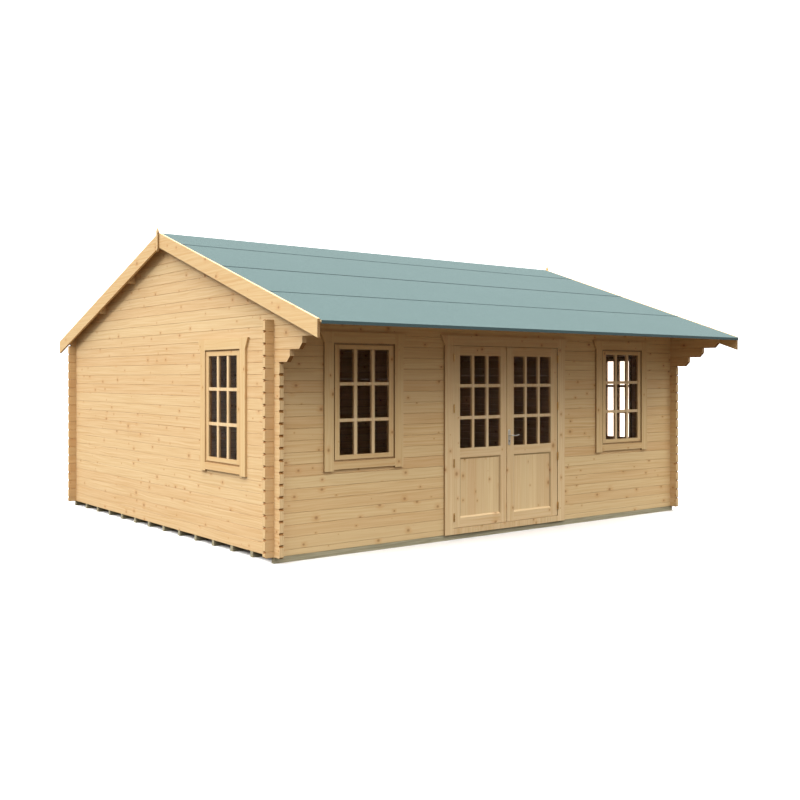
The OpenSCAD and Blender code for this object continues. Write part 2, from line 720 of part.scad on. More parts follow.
module win_sash() {
  difference() {
    translate([-sash_half, sash_y, sash_z0]) cube([2 * sash_half, sash_t, sash_z1 - sash_z0]);
    translate([-pane_half, sash_y - 1, pane_z0])
      cube([2 * pane_half, sash_t + 2, pane_z1 - pane_z0]);
    translate([-pane_half - groove - g, sash_y + sash_t / 2 - glass_t / 2 - g,
      pane_z0 - groove - g])
      cube([2 * (pane_half + groove + g), glass_t + 2 * g,
        pane_z1 - pane_z0 + 2 * (groove + g)]);
  }
}
module win_glass() {
  translate([-pane_half - groove, sash_y + sash_t / 2 - glass_t / 2, pane_z0 - groove])
    cube([2 * (pane_half + groove), glass_t, pane_z1 - pane_z0 + 2 * groove]);
}
module at_front_left() { place() translate([win_x, 0, win_z]) children(); }
module at_front_right() { place() translate([wall_len - win_x, 0, win_z]) children(); }
module at_left_gable() {
  place() translate([0, gable_win_y, win_z - half]) rotate([0, 0, -90]) children();
}
module at_right_gable() {
  place() translate([wall_len, gable_win_y, win_z - half]) rotate([0, 0, 90]) children();
}
module window_frames() {
  color(spruce_shade) {
    at_front_left() win_frame();
    at_front_right() win_frame();
    at_left_gable() win_frame();
    at_right_gable() win_frame();
  }
}
module front_left_window_casing() { color(spruce) at_front_left() win_casing(); }
module front_right_window_casing() { color(spruce) at_front_right() win_casing(); }
module left_gable_window_casing() { color(spruce_light) at_left_gable() win_casing(); }
module right_gable_window_casing() { color(spruce_light) at_right_gable() win_casing(); }
module front_left_window_sash() { color(spruce) at_front_left() win_sash(); }
module front_right_window_sash() { color(spruce) at_front_right() win_sash(); }
module left_gable_window_sash() { color(spruce_light) at_left_gable() win_sash(); }
module right_gable_window_sash() { color(spruce_light) at_right_gable() win_sash(); }
module front_left_window_glass() { color(glass_grey) at_front_left() win_glass(); }
module front_right_window_glass() { color(glass_grey) at_front_right() win_glass(); }
module left_gable_window_glass() { color(glass_grey) at_left_gable() win_glass(); }
module right_gable_window_glass() { color(glass_grey) at_right_gable() win_glass(); }

floor_bearers();
floor_boards();
front_wall_left();
front_wall_right();
front_wall_top();
back_wall();
left_gable_wall();
right_gable_wall();
ridge_purlin();
roof_purlins();
front_roof_boards();
back_roof_boards();
front_roof_felt();
back_roof_felt();
ridge_felt();
left_bargeboards();
right_bargeboards();
finials();
door_frame();
door_threshold();
door_casing();
left_door_leaf();
left_door_panel();
left_door_glass();
right_door_leaf();
right_door_panel();
right_door_glass();
frame_hinge_halves();
left_door_hinge_halves();
right_door_hinge_halves();
door_handle_plate();
door_lever();
window_frames();
front_left_window_casing();
front_right_window_casing();
left_gable_window_casing();
right_gable_window_casing();
front_left_window_sash();
front_right_window_sash();
left_gable_window_sash();
right_gable_window_sash();
front_left_window_glass();
front_right_window_glass();
left_gable_window_glass();
right_gable_window_glass();
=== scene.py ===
"""Log cabin of planed spruce logs with a green felted gable roof: materials, small joinery and light."""
import json
import math
from functools import partial
import bmesh
import bpy
from mathutils import Matrix, Vector


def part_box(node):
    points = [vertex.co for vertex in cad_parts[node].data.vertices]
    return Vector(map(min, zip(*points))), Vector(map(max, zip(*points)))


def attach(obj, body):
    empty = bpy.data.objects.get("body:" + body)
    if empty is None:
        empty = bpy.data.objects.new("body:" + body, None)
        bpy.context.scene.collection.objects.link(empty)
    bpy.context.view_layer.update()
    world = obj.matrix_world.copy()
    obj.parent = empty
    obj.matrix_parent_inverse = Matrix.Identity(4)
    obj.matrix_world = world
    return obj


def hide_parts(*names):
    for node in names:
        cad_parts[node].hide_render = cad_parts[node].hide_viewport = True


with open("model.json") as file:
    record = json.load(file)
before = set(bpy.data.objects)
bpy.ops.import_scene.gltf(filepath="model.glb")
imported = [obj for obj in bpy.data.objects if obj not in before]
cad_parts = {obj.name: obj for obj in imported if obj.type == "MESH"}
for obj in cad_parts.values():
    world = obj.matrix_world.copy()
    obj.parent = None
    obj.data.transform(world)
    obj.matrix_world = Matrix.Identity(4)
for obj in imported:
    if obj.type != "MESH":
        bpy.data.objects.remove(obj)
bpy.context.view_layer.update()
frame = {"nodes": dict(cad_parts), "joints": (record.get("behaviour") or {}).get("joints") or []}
nodes = frame["nodes"]


# ------------------------------------------------------------------ sizes, in metres
def low(name, axis):
    """Where a CAD node starts on an axis, to the nearest micron."""
    return round(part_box(name)[0][axis], 6)


def high(name, axis):
    """Where a CAD node ends on an axis, to the nearest micron."""
    return round(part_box(name)[1][axis], 6)


X, Y, Z = range(3)
WALL_Y = low("front_wall_left", Y)           # front wall's face
GABLE_X = high("right_gable_wall", X)        # right gable wall's face, which the left one mirrors
BASE = high("floor_bearers", Z)              # top of the bearers
COURSE = 0.114                               # height of a log course
PITCH = 0.342                                # rise of the roof for each unit of run
SLOPE = math.hypot(1.0, PITCH)
DECK = 0.019                                 # thickness of the roof boards
RIDGE_Y = (high("front_roof_boards", Y) + low("back_roof_boards", Y)) / 2
RIDGE_Z = high("front_roof_boards", Z) - DECK * SLOPE    # ridge, at the underside of the roof boards
FIRST_LAP = 0.555                            # from the ridge down the slope to the first lap in the felt
LAP_STEP = 0.977                             # from one lap to the next
REBATE = 0.009                               # how far glass and panels are let into their frames
GLASS = 0.004                                # thickness of the glass
AIR = 0.0004                                 # between a glazing bar and what it lies on
SHIM = 0.0003                                # between other new pieces and what they lie on
LEAF_FACE = WALL_Y - low("left_door_leaf", Y)            # a door leaf's face in front of the wall's
CASING_HALF = 0.3745                         # half the width between a window casing's uprights
DOORWAY_HALF = 0.804                         # half the width between the door casing's uprights


def clear(name, axis):
    """Middle and half width of what shows of a pane or panel past its rebates."""
    start, end = low(name, axis), high(name, axis)
    return (start + end) / 2, (end - start) / 2 - REBATE


# ------------------------------------------------------------------ materials
def colour(hex_value):
    """sRGB hex to linear RGBA."""
    rgb = [int(hex_value[i:i + 2], 16) / 255 for i in (1, 3, 5)]
    return [c / 12.92 if c <= 0.04045 else ((c + 0.055) / 1.055) ** 2.4 for c in rgb] + [1.0]


def add(tree, kind, *ordered, **named):
    """Adds one node. The second word of kind is its operation. Inputs come in order or by a name that
    starts with a capital, as numbers, sockets or whole nodes, which give their first output."""
    kind, _, operation = kind.partition(" ")
    node = tree.nodes.new("ShaderNode" + kind)
    if operation:
        node.operation = operation
    given = list(enumerate(ordered))
    for key, value in named.items():
        if key[0].isupper():
            given.append((key.replace("_", " "), value))
        else:
            setattr(node, key, value)
    for key, value in given:
        if isinstance(value, bpy.types.Node):
            value = value.outputs[0]
        if isinstance(value, bpy.types.NodeSocket):
            tree.links.new(value, node.inputs[key])
        else:
            node.inputs[key].default_value = value
    return node


def start_material(name):
    """A new material, its shader, and add() bound to its tree."""
    material = bpy.data.materials.new(name)
    material.use_nodes = True
    tree = material.node_tree
    return material, tree.nodes["Principled BSDF"], partial(add, tree)


def finish_surface(shader, base, roughness, height, strength, depth):
    """Joins a colour, a roughness and a relief to a shader; a plain number is set on its own socket."""
    tree = shader.id_data
    tree.links.new(base.outputs[0], shader.inputs["Base Color"])
    if isinstance(roughness, float):
        shader.inputs["Roughness"].default_value = roughness
    else:
        tree.links.new(roughness.outputs[0], shader.inputs["Roughness"])
    bump = add(tree, "Bump", Strength=strength, Distance=depth, Height=height)
    tree.links.new(bump.outputs[0], shader.inputs["Normal"])


WANDER_PER_M = 1.4      # the growth bands swing about once in 0.7 m
BANDS_PER_M = 55.0      # growth bands about 18 mm apart
FIBRES_PER_M = 210.0    # fine streaks about 5 mm apart, which are 1 mm in the wood and are drawn to show
RING_SCALE = 18.0       # end grain's rings are 17 mm apart at this scale, drawn wide so that they show


def board_axes(node, xyz, along, stacked, cross):
    """Distances along a board, across it and into it. Inside cross = (axis, centre, half width) lie the
    rails, where the grain runs sideways."""
    length_axis = "XYZ".index(along)
    width_axis = "XYZ".index(stacked) if stacked else X if along == "Z" else Z
    if cross and cross[0] == "Y":
        width_axis = Y
    run, wide = xyz[length_axis], xyz[width_axis]
    if cross:
        axis, centre, half = cross
        sideways = xyz["XYZ".index(axis)]
        off = node("Math ABSOLUTE", node("Math SUBTRACT", sideways, centre))
        rail = node("Math LESS_THAN", off, half)
        run, wide = node("Mix", rail, A=run, B=sideways), node("Mix", rail, A=wide, B=run)
    return run, wide, xyz[3 - length_axis - width_axis]


def knots_on(node, run, wide, course, shift, spacing):
    """Knots that come in whorls half a metre apart; with 0.2 m between them they are about 15 mm across,
    and 35 mm at the most. Gives how far inside a knot each point lies, and how far inside the stained
    wood round it."""
    spot = node("CombineXYZ", node("Math MULTIPLY", node("Math ADD", run, shift), 0.8),
                node("Math MULTIPLY_ADD", course, 3.37, wide), 0.0)
    cells = node("TexVoronoi", Vector=spot, Scale=1.0 / spacing, voronoi_dimensions="2D")
    spread = node("CombineXYZ", node("Math MULTIPLY_ADD", run, 2.2, shift), course, 0.0)
    whorl = node("TexNoise", Vector=spread, Scale=1.0, Detail=1.0)
    own_size = node("MapRange", node("SeparateXYZ", cells.outputs["Color"]), 0.15, 1.0, 0.008, 0.105)
    size = node("Math MULTIPLY", own_size, node("MapRange", whorl, 0.36, 0.60, 0.45, 1.0))
    near = node("Math DIVIDE", cells, size)
    return node("MapRange", near, 1.25, 0.45), node("MapRange", near, 3.4, 0.9)


def end_grain(node, wide, depth, course, height, lean, sawn_end_and_shade):
    """Rings about a pith that lies below the board."""
    pith = node("CombineXYZ", node("Math ADD", node("Math MULTIPLY_ADD", course, -height, wide),
                                   node("Math MULTIPLY", lean, 0.05)), depth, 0.0)
    rings = node("TexWave", Vector=pith, Scale=RING_SCALE, Distortion=2.0, Detail=1.0,
                 wave_type="RINGS", rings_direction="Z").outputs[1]
    return node("MixRGB", node("MapRange", rings, 0.2, 0.9, 0.0, 0.45), colour(sawn_end_and_shade),
                colour("#A87E4C"))


def spruce(name, along, rows=None, stacked=None, cross=None, pale="#E3C596", deep="#D2AC78", seed=0.0,
           tone=0.12, knots=0.20, joints=0.0, notches=0.0, tips=0.0, sides=0.0, beads=0.0,
           sawn_end_and_shade="#E6C795"):
    """Planed spruce: pale straw colour with soft darker growth bands along the board, small red-brown
    knots in whorls, and end grain that drinks in light. rows = (height, offset) gives each stacked log
    or board its own piece of timber; cross turns the grain in rails; tone is how much one board differs
    from the next; knots is their spacing. The last six say how much shade lies in joints, how much
    painted shade lies in notches, log tips, edges and beads, and the colour of sawn ends, which some
    pieces darken as painted shade."""
    material, shader, node = start_material(name)
    place = node("TexCoord").outputs
    xyz = node("SeparateXYZ", place["Object"]).outputs
    normal = node("SeparateXYZ", place["Normal"]).outputs
    run, wide, depth = board_axes(node, xyz, along, stacked, cross)
    height, offset = rows or (1.1, -7.31)    # without rows, a board 1.1 m wide holds the whole piece
    course = node("Math FLOOR", node("Math DIVIDE", node("Math SUBTRACT", wide, offset), height))
    timber = node("TexWhiteNoise", W=node("Math ADD", course, seed), noise_dimensions="1D")
    chance = node("SeparateXYZ", timber.outputs["Color"]).outputs
    shift = node("Math MULTIPLY", chance[0], 37.0)
    knot, halo = knots_on(node, run, wide, course, shift, knots)

    # the growth bands wander along the board and squeeze together round the knots
    slow = node("CombineXYZ", node("Math MULTIPLY_ADD", run, WANDER_PER_M, shift), shift,
                node("Math MULTIPLY", wide, 6.0))
    wander = node("TexNoise", Vector=slow, Scale=1.0, Detail=2.0)
    bent = node("Math MULTIPLY_ADD", wander, 0.055, wide)
    across_bands = node("Math MULTIPLY_ADD", halo, 0.7, node("Math MULTIPLY", bent, BANDS_PER_M))
    band_space = node("CombineXYZ", node("Math MULTIPLY_ADD", run, 1.1, shift), across_bands,
                      node("Math MULTIPLY", depth, 30.0))
    bands = node("TexNoise", Vector=band_space, Scale=1.0, Detail=2.5, Roughness=0.55)
    fibre_space = node("CombineXYZ", node("Math MULTIPLY", run, 5.0),
                       node("Math MULTIPLY", bent, FIBRES_PER_M), node("Math MULTIPLY", depth, 90.0))
    fibres = node("TexNoise", Vector=fibre_space, Scale=1.0, Detail=2.0)

    base = node("MixRGB", node("MapRange", bands, 0.38, 0.72), colour(pale), colour(deep))
    for amount, shade in ((node("MapRange", fibres, 0.5, 0.85, 0.0, 0.3), deep),
                          # each board is a little redder or paler than the next
                          (node("Math MULTIPLY", chance[1], tone * 2.2), "#D0A06C"),
                          (node("Math MULTIPLY", chance[2], tone * 1.6), "#EAD6A4"),
                          (node("Math MULTIPLY", halo, 0.34), "#CF9458"),
                          (node("Math MULTIPLY", knot, 0.60), "#9A6336")):
        base = node("MixRGB", amount, base, colour(shade))
    if tips:                                 # painted shade: the log ends that stand out past the corners are darkened
        out = node("Math ABSOLUTE", run)
        beyond = node("MapRange", out, GABLE_X, GABLE_X + 0.003, 0.0, tips)
        base = node("MixRGB", beyond, base, colour("#A2744A"))
    if joints:                               # shade gathers in the joint between two boards
        part = node("Math FRACT", node("Math DIVIDE", node("Math SUBTRACT", wide, offset), height))
        nearer = node("Math MINIMUM", part, node("Math SUBTRACT", 1.0, part))
        edge = node("Math MULTIPLY", nearer, height)
        base = node("MixRGB", node("MapRange", edge, 0.0055, 0.0025, 0.0, joints), base, colour("#8A5428"))
    facing = node("Math ABSOLUTE", normal["XYZ".index(along)])
    sawn_tone = end_grain(node, wide, depth, course, height, chance[1], sawn_end_and_shade)
    base = node("MixRGB", node("MapRange", facing, 0.85, 0.95), base, sawn_tone)
    if notches:                              # painted shade: the slopes of the sawn notches between log ends are darkened
        slant = node("Math MULTIPLY", node("MapRange", facing, 0.45, 0.6),
                     node("MapRange", facing, 0.86, 0.78))
        base = node("MixRGB", node("Math MULTIPLY", slant, notches), base, colour("#8F5A14"))
    if sides:                                # painted shade: the narrow side faces are darkened
        sideways = node("Math ABSOLUTE", normal["XYZ".index(cross[0])])
        narrow = node("MapRange", sideways, 0.85, 0.95, 0.0, sides)
        base = node("MixRGB", narrow, base, colour("#6B441F"))
    if beads:                                # painted shade: a bead's slopes that face sideways or down are darkened, not its upper slope
        hollow = node("Math MAXIMUM", node("Math ABSOLUTE", normal[X]),
                      node("Math MULTIPLY", normal[Z], -1.0))
        base = node("MixRGB", node("MapRange", hollow, 0.4, 0.6, 0.0, beads), base, colour("#6B441F"))
    relief = node("Math SUBTRACT", node("Math MULTIPLY", fibres, 0.5), node("Math MULTIPLY", knot, 0.4))
    finish_surface(shader, base, node("MapRange", bands, 0.35, 0.7, 0.52, 0.66), relief, 0.12, 0.0012)
    return material


def treated_timber(name):
    """Sawn softwood, pressure treated: grey-green and a little furry, with no gloss. Its grain is
    about 15 mm apart and runs along the bearers."""
    material, shader, node = start_material(name)
    xyz = node("SeparateXYZ", node("TexCoord").outputs["Object"]).outputs
    stretched = node("CombineXYZ", *(node("Math MULTIPLY", xyz[axis], per_metre)
                                     for axis, per_metre in ((X, 3.0), (Y, 60.0), (Z, 80.0))))
    grain = node("TexNoise", Vector=stretched, Scale=1.0, Detail=4.0)
    base = node("MixRGB", node("MapRange", grain, 0.35, 0.7), colour("#B3AA8C"), colour("#8B8468"))
    finish_surface(shader, base, 0.82, grain, 0.3, 0.002)
    return material


def mineral_felt(name):
    """Bituminous roofing felt dressed with green slate granules: dull, finely speckled, darker where
    granules are thin, with a dark band of bitumen and painted shade along each lap, and painted shade
    on the turned-down edge. The granules are 1 mm across and are drawn as 7 mm so that they show."""
    material, shader, node = start_material(name)
    place = node("TexCoord").outputs
    grit = node("TexNoise", Vector=place["Object"], Scale=140.0, Detail=3.0, Roughness=0.7)
    patches = node("TexNoise", Vector=place["Object"], Scale=1.3, Detail=4.0)
    base = node("MixRGB", node("MapRange", grit, 0.36, 0.66), colour("#364A49"), colour("#576D6C"))
    base = node("MixRGB", node("MapRange", patches, 0.35, 0.75, 0.0, 0.35), base, colour("#435857"))
    level = node("Math SUBTRACT", node("SeparateXYZ", place["Object"]).outputs[Y], RIDGE_Y)
    down = node("Math MULTIPLY", node("Math ABSOLUTE", level), SLOPE)
    for step, bitumen_and_shade in enumerate((0.4, 0.8, 0.45)):      # how dark the band along each lap is drawn: bitumen and painted shade under the lap's step
        off = node("Math ABSOLUTE", node("Math SUBTRACT", down, FIRST_LAP + LAP_STEP * step))
        base = node("MixRGB", node("MapRange", off, 0.014, 0.004, 0.0, bitumen_and_shade), base, colour("#1F3336"))
    # painted shade: the turned-down edge and any face that looks front or back is darkened
    upright = node("Math ABSOLUTE", node("SeparateXYZ", place["Normal"]).outputs[Y])
    base = node("MixRGB", node("MapRange", upright, 0.8, 0.95, 0.0, 0.6), base, colour("#2B4145"))
    finish_surface(shader, base, 0.93, grit, 0.35, 0.002)
    return material


def float_glass(name):
    """Clear float glass: flat and shiny with a faint warm cast, so a dark room shows behind it."""
    material, shader, node = start_material(name)
    shader.inputs["Base Color"].default_value = colour("#FDF1E7")
    shader.inputs["Transmission Weight"].default_value = 1.0
    shader.inputs["IOR"].default_value = 1.08
    smear = node("TexNoise", Vector=node("TexCoord").outputs["Object"], Scale=3.0, Detail=2.0)
    gloss = node("MapRange", smear, 0.4, 0.8, 0.0, 0.01)
    shader.id_data.links.new(gloss.outputs[0], shader.inputs["Roughness"])
    return material


def satin_steel(name, tint):
    """Stainless or zinc-plated steel with a brushed satin finish: grey, softly streaked highlights. The
    brush marks lie level, about 1 mm apart."""
    material, shader, node = start_material(name)
    xyz = node("SeparateXYZ", node("TexCoord").outputs["Object"]).outputs
    stretched = node("CombineXYZ", *(node("Math MULTIPLY", xyz[axis], per_metre)
                                     for axis, per_metre in ((X, 90.0), (Y, 90.0), (Z, 900.0))))
    brush = node("TexNoise", Vector=stretched, Scale=1.0, Detail=2.0)
    shader.inputs["Base Color"].default_value = colour(tint)
    shader.inputs["Metallic"].default_value = 1.0
    gloss = node("MapRange", brush, 0.3, 0.7, 0.24, 0.42)
    shader.id_data.links.new(gloss.outputs[0], shader.inputs["Roughness"])
    return material


# painted shade: notches darkens the notches between log ends on both walls, and tips the front log ends
# past the corners
front_logs = spruce("planed_spruce_front_logs", "X", rows=(COURSE, BASE + COURSE / 2), seed=3.0,
                    joints=0.24, notches=0.9, tips=0.36, tone=0.2, pale="#EBCC96", deep="#D9B178")
gable_logs = spruce("planed_spruce_gable_logs", "Y", rows=(COURSE, BASE), seed=41.0, joints=0.16,
                    notches=0.9)
frames = spruce("planed_spruce_frames", "Z", seed=11.0)
# painted shade: the window linings are dark brown, for the shade in the gap between casing and sash
linings = spruce("planed_spruce_linings", "Z", seed=13.0, pale="#A97E4C", deep="#8F6538")
# painted shade: sides darkens the door casing's narrow side faces
door_boards = spruce("planed_spruce_door_casing", "Z", cross=("X", 0.0, DOORWAY_HALF), seed=19.0,
                     pale="#ECD0A0", deep="#DDB785", sides=0.6)
roof_timber = spruce("planed_spruce_roof_timber", "X", seed=23.0)
floor_timber = spruce("planed_spruce_floor_boards", "X", rows=(0.11, -2.5), stacked="Y", seed=27.0,
                      tone=0.3, joints=0.8)
# painted shade: the bargeboards' sawn ends are drawn dark brown, darker end grain and painted shade
slope_timber = spruce("planed_spruce_bargeboards", "Y", seed=31.0, pale="#DFC18E", deep="#D1A870",
                      sawn_end_and_shade="#86673F")
sawn = treated_timber("pressure_treated_softwood")
felt = mineral_felt("green_mineral_felt")
glass = float_glass("float_glass")
steel = satin_steel("satin_stainless_steel", "#E9E4DA")
zinc = satin_steel("yellow_passivated_zinc_plate", "#E3BE83")
# painted shade: near-black steel stands in for the keyhole's dark opening
keyhole_shade = satin_steel("keyhole_painted_shade", "#1A1816")
bar_wood = spruce("planed_spruce_glazing_bars", "Z", seed=17.0, knots=0.9, tone=0.05, pale="#EBD0A4",
                  deep="#DDB987")

FINISHES = (                                 # the first word found in a node's name gives its finish
    ("floor_bearers", sawn), ("felt", felt), ("glass", glass), ("hinge", zinc), ("handle", steel),
    ("lever", steel), ("gable_wall", gable_logs), ("bargeboards", slope_timber),
    ("finials", slope_timber), ("wall", front_logs), ("purlin", roof_timber),
    ("floor_boards", floor_timber), ("window_frames", linings), ("door_casing", door_boards),
    ("", frames))
for name, cad_node in nodes.items():
    cad_node.data.materials.clear()
    cad_node.data.materials.append(next(finish for word, finish in FINISHES if word in name))


# ------------------------------------------------------------------ joinery
def put(wall, centre):
    """Local x along the wall, y outwards from its face, z up."""
    if wall == "front":
        return Matrix.Translation((centre, WALL_Y, 0)) @ Matrix.Rotation(math.pi, 4, "Z")
    side = 1 if wall == "right" else -1
    turned = Matrix.Rotation(-side * math.pi / 2, 4, "Z")
    return Matrix.Translation((side * GABLE_X, centre, 0)) @ turned


def loft(bm, rings):
    """Joins rings of points into a closed solid, flat at both ends."""
    rings = [[bm.verts.new(point) for point in ring] for ring in rings]
    count = len(rings[0])
    bm.faces.new(rings[0][::-1])
    bm.faces.new(rings[-1])
    for one, two in zip(rings, rings[1:]):
        for i in range(count):
            bm.faces.new((one[i], one[(i + 1) % count], two[(i + 1) % count], two[i]))


def stick(bm, start, end, eased=0.0015):
    """A planed stick between two corners, with its edges eased."""
    made = bmesh.ops.create_cube(bm, size=1.0)["verts"]
    for v in made:
        v.co = Vector([start[k] if v.co[k] < 0 else end[k] for k in range(3)])
    edges = {e for v in made for e in v.link_edges}
    bmesh.ops.bevel(bm, geom=list(edges), offset=eased, segments=1, affect="EDGES")


def piece(name, bm, body, material, matrix=None, cad=(), smooth=False):
    """Makes an object of a mesh that rides on a body, and may stand for a CAD node."""
    mesh = bpy.data.meshes.new(name)
    if matrix is not None:
        bm.transform(matrix)
    bmesh.ops.recalc_face_normals(bm, faces=bm.faces)
    for face in bm.faces:
        face.smooth = smooth
    bm.to_mesh(mesh)
    bm.free()
    mesh.materials.append(material)
    obj = bpy.data.objects.new(name, mesh)
    bpy.context.scene.collection.objects.link(obj)
    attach(obj, body)
    if cad:
        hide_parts(*cad)


def glazing_bars(name, body, wall, upright, level, out, into):
    """Two uprights and two levels, halved together, on both faces of the glass, which they divide in
    nine. They stand out of the wall's face by out and reach into the wall by into."""
    centre, half = clear(name + "_glass", X if wall == "front" else Y)
    middle, half_height = clear(name + "_glass", Z)
    foot, head = middle - half_height, middle + half_height
    pane_w = (2 * half - 2 * upright) / 3
    pane_h = (head - foot - 2 * level) / 3
    bm = bmesh.new()
    for y0, y1 in ((AIR, out), (-into, -GLASS - AIR)):
        for k in (-1, 1):
            x = k * (pane_w + upright) / 2
            stick(bm, (x - upright / 2, y0, foot), (x + upright / 2, y1, head))
        for k in (1, 2):
            z = foot + k * pane_h + (k - 1) * level
            for n in (-1, 0, 1):
                x = n * (pane_w + upright)
                stick(bm, (x - pane_w / 2, y0 + AIR, z), (x + pane_w / 2, y1 - AIR, z + level))
    piece(name + "_bars", bm, body, bar_wood, put(wall, centre))


def window_joinery(name, wall):
    """Glazing bars of a window, and wood for its casing and sash with the grain along each board."""
    glazing_bars(name, "cabin", wall, 0.038, 0.033, 0.0135, 0.017)
    centre, sash_half = clear(name + "_glass", X if wall == "front" else Y)
    axis, pale, sides = ("X", "#E5C791", 0.6) if wall == "front" else ("Y", "#DFC08D", 0.25)
    # painted shade: sides darkens the narrow side faces of casing and sash, more on the front wall than on
    # the gables, and their faces across the ends, top and bottom, are dark brown painted shade
    for board, half, seed in (("casing", CASING_HALF, 1.7), ("sash", sash_half, 2.3)):
        nodes[name + "_" + board].data.materials[0] = spruce(
            "planed_spruce_%s_%s" % (name, board), "Z", cross=(axis, centre, half),
            seed=len(name) * seed, pale=pale, deep="#D4AD75", sawn_end_and_shade="#8A6236", sides=sides)


def panel_beads(door, seed):
    """Bevelled beads round a door panel, mitred at the corners."""
    centre, half = clear(door + "_panel", X)
    middle, half_height = clear(door + "_panel", Z)
    foot, head = middle - half_height, middle + half_height
    panel_face = WALL_Y - low(door + "_panel", Y)
    section = ((0, 0), (0.018, 0), (0, 0.0125))          # 18 mm on the panel, 12.5 mm up the frame
    bm = bmesh.new()
    for x, z, run, inwards in ((-half, foot, (1, 0, 0), (0, 0, 1)), (half, foot, (0, 0, 1), (-1, 0, 0)),
                               (half, head, (-1, 0, 0), (0, 0, -1)), (-half, head, (0, 0, -1), (1, 0, 0))):
        run, inwards = Vector(run), Vector(inwards)
        length = 2 * half if run.x else head - foot
        start = Vector((x, panel_face + SHIM, z))
        loft(bm, [[start + run * (end + mitre * u) + inwards * u + Vector((0, v, 0)) for u, v in section]
                  for end, mitre in ((0.0, 1), (length, -1))])
    # painted shade: beads darkens the bead slopes that face sideways or down
    bead_wood = spruce("moulded_spruce_%s_beads" % door.split("_")[0], "Z", seed=seed, beads=0.5,
                       cross=("X", centre, half - 0.02), pale="#EDD09F", deep="#DFBB86")
    piece(door + "_panel_beads", bm, door, bead_wood, put("front", centre))


def door_joinery(side, seed):
    """Wood for a door leaf and its panel, which is glued up from staves 124 mm wide, glazing bars and
    beads."""
    door = side + "_door"
    centre, half = clear(door + "_panel", X)
    nodes[door + "_leaf"].data.materials[0] = spruce(
        "planed_spruce_%s_leaf" % side, "Z", cross=("X", centre, half), seed=seed, pale="#EACD9E",
        deep="#DAB682")
    nodes[door + "_panel"].data.materials[0] = spruce(
        "edge_glued_spruce_%s_panel" % side, "Z", rows=(0.124, centre - half), stacked="X",
        seed=seed * 3, tone=0.22, pale="#EDD09F", deep="#DFBB86")
    glazing_bars(door, door, "front", 0.033, 0.035, LEAF_FACE - 0.003, 0.019)
    panel_beads(door, seed)


def disc(radius, out, z, points=16):
    """A ring of points about the lever's axis, z above it and out from the door."""
    return [AXIS + Vector((radius * math.cos(math.tau * k / points), -out,
                           z + radius * math.sin(math.tau * k / points))) for k in range(points)]


def lever_plate():
    """A domed back plate with round ends and two countersunk screws."""
    radius, top, foot, count = 0.019, 0.046, -0.092, 48  # centres of the round ends above the axis
    outline = []
    for k in range(count):
        angle = math.tau * (k + 0.5) / count
        centre = top if k < count / 2 else foot
        outline.append((radius * math.cos(angle), radius * math.sin(angle) + centre))
    domed = [(x * 0.9, z * 0.97 - 0.0007) for x, z in outline]
    bm = bmesh.new()
    loft(bm, [[AXIS + Vector((x, -out, z)) for x, z in ring]
              for ring, out in ((outline, 0.0), (outline, 0.0032), (domed, 0.005))])
    for z in (0.052, -0.098):
        loft(bm, [disc(r, out, z) for r, out in ((0.0045, 0.003), (0.0045, 0.0054), (0.0032, 0.0059))])
    piece("lever_back_plate", bm, "right_door", steel, cad=("door_handle_plate",))


def keyhole():
    """The keyhole's round top and straight foot, as a dark inlay in the plate: painted shade where the
    hole would be.
    """
    radius, below = 0.0055, 0.062
    arc = [math.radians(angle) for angle in range(-50, 231, 20)]
    outline = [(radius * math.cos(angle), radius * math.sin(angle)) for angle in arc]
    outline += [(-0.0028, -0.019), (0.0028, -0.019)]
    bm = bmesh.new()
    loft(bm, [[AXIS + Vector((x, -out, z - below)) for x, z in outline] for out in (0.0047, 0.0054)])
    piece("keyhole", bm, "right_door", keyhole_shade)


def lever_handle():
    """A collar on the plate, a neck that turns along the door, and a grip that swings in a shallow S."""
    # x along the door, y from the plate, z up, and half the height of the section there
    route = ((0.0, -0.0058, 0.0, 0.012), (0.0, -0.0138, 0.0, 0.0114), (0.0, -0.0150, 0.0, 0.0072),
             (0.0, -0.034, 0.0, 0.007), (0.0018, -0.0415, 0.0, 0.0072),
             (0.0075, -0.0468, -0.0004, 0.0074), (0.016, -0.048, -0.001, 0.0072),
             (0.034, -0.0478, -0.0030, 0.0066), (0.056, -0.0472, -0.0048, 0.0062),
             (0.076, -0.0466, -0.0034, 0.006), (0.094, -0.0458, 0.0004, 0.0058),
             (0.108, -0.0448, 0.0034, 0.0054), (0.1165, -0.0440, 0.0040, 0.0036),
             (0.1190, -0.0438, 0.0040, 0.0012))
    flat = 0.78                              # the section's width for each unit of its height
    rings = []
    for i, (x, y, z, radius) in enumerate(route):
        before, after = route[max(i - 1, 0)], route[min(i + 1, len(route) - 1)]
        ahead = Vector([after[k] - before[k] for k in range(3)]).normalized()
        over = Vector((0, 0, 1)).cross(ahead).normalized()
        rise = ahead.cross(over)
        rings.append([AXIS + Vector((x, y, z)) + (over * math.cos(t) * flat + rise * math.sin(t)) * radius
                      for t in (math.tau / 16 * k for k in range(16))])
    bm = bmesh.new()
    loft(bm, rings)
    piece("lever_handle", bm, "lever", steel, cad=("door_lever",), smooth=True)


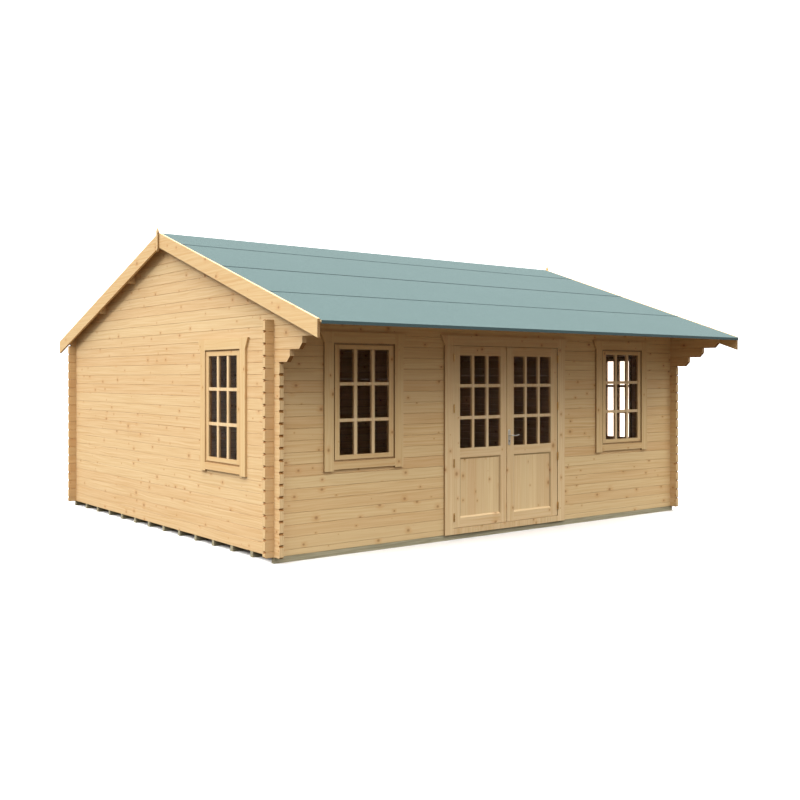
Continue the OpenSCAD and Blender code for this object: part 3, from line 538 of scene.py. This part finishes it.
def tongued_boards(side, near, far, seed):
    """Roof boards from the ridge to an eave, with a V joint between them on the underside. near and far
    read the CAD slab's ends at the ridge and at the eave."""
    slab = side + "_roof_boards"
    count, vee = 56, 0.006
    left = low(slab, X)
    width = (high(slab, X) - left) / count
    bm = bmesh.new()
    for k in range(count):
        x0, x1 = left + k * width, left + (k + 1) * width
        outline = ((x0 + SHIM, vee), (x0 + vee, 0), (x1 - vee, 0), (x1 - SHIM, vee),
                   (x1 - SHIM, DECK * SLOPE), (x0 + SHIM, DECK * SLOPE))
        loft(bm, [[Vector((x, y, RIDGE_Z - PITCH * abs(y - RIDGE_Y) + h)) for x, h in outline]
                  for y in (near(slab, Y), far(slab, Y))])
    wood = spruce("planed_spruce_%s" % slab, "Y", rows=(width, left), stacked="X", seed=seed,
                  pale="#ECCF9E", deep="#DFBB86")
    piece(side + "_tongued_boards", bm, "cabin", wood, cad=(slab,))


for name, wall in (("front_left_window", "front"), ("front_right_window", "front"),
                   ("left_gable_window", "left"), ("right_gable_window", "right")):
    window_joinery(name, wall)
door_joinery("left", 5.0)
door_joinery("right", 8.0)

pivot = next(joint["pos_m"] for joint in frame["joints"] if joint["name"] == "lever_turn")
AXIS = Vector((pivot[X], high("door_handle_plate", Y), pivot[Z]))    # lever's axis, where the plate lies
lever_plate()
keyhole()
lever_handle()
tongued_boards("front", high, low, 60.0)
tongued_boards("back", low, high, 62.0)

# ------------------------------------------------------------------ light, floor, camera
scene = bpy.context.scene
scene.view_settings.view_transform = "Standard"


def seen_directly(node):
    """1 on a ray that comes straight from the eye or through glass, and 0 on one that carries light."""
    path = node("LightPath").outputs
    straight = node("Math MAXIMUM", path["Is Camera Ray"], path["Is Transmission Ray"])
    return node("Math MULTIPLY", straight, node("Math LESS_THAN", path["Diffuse Depth"], 0.5))


def studio_light():
    """A white backdrop, a soft sky that brightens overhead, and a broad key light from the left."""
    overhead, horizon, room, backdrop = 5.1, 0.18, 0.4, 2.2
    world = scene.world = bpy.data.worlds.new("studio")
    world.use_nodes = True
    sky = world.node_tree
    node = partial(add, sky)
    height = node("SeparateXYZ", node("TexCoord").outputs["Generated"]).outputs[Z]
    rise = node("Math POWER", node("MapRange", height, 0.0, 1.0), 1.6)
    lamp = node("Math MULTIPLY_ADD", rise, overhead, horizon)
    indoors = node("LightPath").outputs["Is Transmission Ray"]       # reaches the room by its windows
    strength = node("Mix", seen_directly(node), A=node("Mix", indoors, A=lamp, B=room), B=backdrop)
    shade = sky.nodes["Background"]
    shade.inputs["Color"].default_value = (1.0, 1.0, 1.0, 1.0)
    sky.links.new(strength.outputs[0], shade.inputs["Strength"])

    sun = bpy.data.objects.new("key_light", bpy.data.lights.new("key_light", "SUN"))
    scene.collection.objects.link(sun)
    sun.data.energy = 1.15
    sun.data.angle = math.radians(15)
    sun.data.color = (1.0, 0.97, 0.92)
    sun.rotation_euler = Vector((1.0, -0.16, -0.75)).to_track_quat("-Z", "Y").to_euler()


def studio_floor():
    """Matt white painted floor, which gives only a little warm light back to the walls."""
    half = 60
    mesh = bpy.data.meshes.new("studio_floor")
    mesh.from_pydata([(-half, -half, 0), (half, -half, 0), (half, half, 0), (-half, half, 0)], [],
                     [(0, 1, 2, 3)])
    floor = bpy.data.objects.new("studio_floor", mesh)
    scene.collection.objects.link(floor)
    paint, shader, node = start_material("matt_white_studio_floor")
    tint = node("MixRGB", seen_directly(node), (0.06, 0.045, 0.03, 1.0), (0.92, 0.92, 0.91, 1.0))
    paint.node_tree.links.new(tint.outputs[0], shader.inputs["Base Color"])
    shader.inputs["Roughness"].default_value = 1.0
    floor.data.materials.append(paint)


studio_light()
studio_floor()
camera = bpy.data.objects.new("camera", bpy.data.cameras.new("camera"))
scene.collection.objects.link(camera)
camera.data.sensor_width = 36.0
camera.data.lens = 43.87
camera.data.shift_y = -0.0287
camera.data.clip_end = 200.0
camera.location = (-7.6473, -10.2759, 1.745)
camera.rotation_euler = (math.radians(90), 0.0, math.radians(-37.786))
scene.camera = camera
